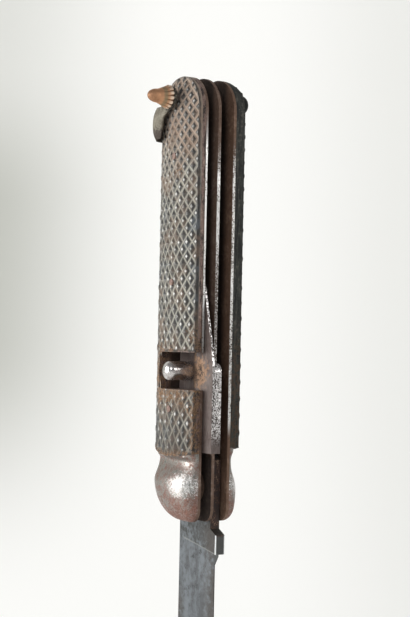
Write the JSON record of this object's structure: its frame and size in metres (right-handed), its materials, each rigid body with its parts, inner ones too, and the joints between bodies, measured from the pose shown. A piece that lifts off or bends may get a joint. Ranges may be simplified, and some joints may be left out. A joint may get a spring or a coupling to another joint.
{
  "type": "pocket knife",
  "caption": "Folding pocket knife with chequered scales, steel bolsters, a lever beside the blade bay with a side thumb stud, and a swinging shackle at the butt.",
  "frame": {"origin": "on the back face of the blade spring, level with the blade pivot and in the middle of the blade", "axes": "+Z along the handle to the butt, +Y out of the back of the handle, X through the thickness with the thumb stud at -X"},
  "size_m": [0.0316, 0.0271, 0.2109],
  "materials": {
    "left_scale": "cut chequering, worn and dusty",
    "right_scale": "cut chequering, dark",
    "liner_steel": "brown patina, bright worn edges",
    "bolster_steel": "polished by handling, red-brown rust",
    "spring_steel": "brown rust",
    "pin_steel": "dull",
    "rivet_metal": "filed flush, reddish",
    "copper": "worn copper",
    "blackened": "black",
    "blade_steel": "grey, pitted, rust at the tang",
    "lever_steel": "brown-grey with bright face",
    "stud_steel": "polished by the thumb",
    "shackle_iron": "grey-brown patina"
  },
  "bodies": {
    "handle": {"left_scale": "left_scale", "right_scale": "right_scale", "left_liner": "liner_steel", "centre_liner": "liner_steel", "right_liner": "liner_steel", "left_bolster": "bolster_steel", "right_bolster": "bolster_steel", "pivot_pad": "liner_steel", "blade_spring": "spring_steel", "latch_spring": "spring_steel", "latch_pin": "pin_steel", "blade_pivot_pin": "pin_steel", "lever_pivot_pin": "pin_steel", "spring_pins": "pin_steel", "scale_rivets": "rivet_metal", "shackle_pin": "pin_steel", "rosette": "copper", "nose_cap": "copper", "end_knob": "blackened"},
    "blade": {"blade": "blade_steel"},
    "lock_lever": {"lock_lever": "lever_steel", "thumb_stud": "stud_steel"},
    "shackle": {"shackle": "shackle_iron"}
  },
  "joints": [
    {"name": "blade_hinge", "type": "hinge", "parent": "handle", "child": "blade", "pos_m": [0, -0.012, 0], "axis": [-1, 0, 0], "range_deg": [0, 180]},
    {"name": "lever_hinge", "type": "hinge", "parent": "handle", "child": "lock_lever", "pos_m": [-0.0045, -0.012, 0.062], "axis": [1, 0, 0], "range_deg": [0, 6], "stiffness_Nm_per_rad": 0.2, "springref_deg": -2.86},
    {"name": "shackle_hinge", "type": "hinge", "parent": "handle", "child": "shackle", "pos_m": [-0.0017, -0.01, 0.1054], "axis": [1, 0, 0], "range_deg": [0, 200]}
  ]
}
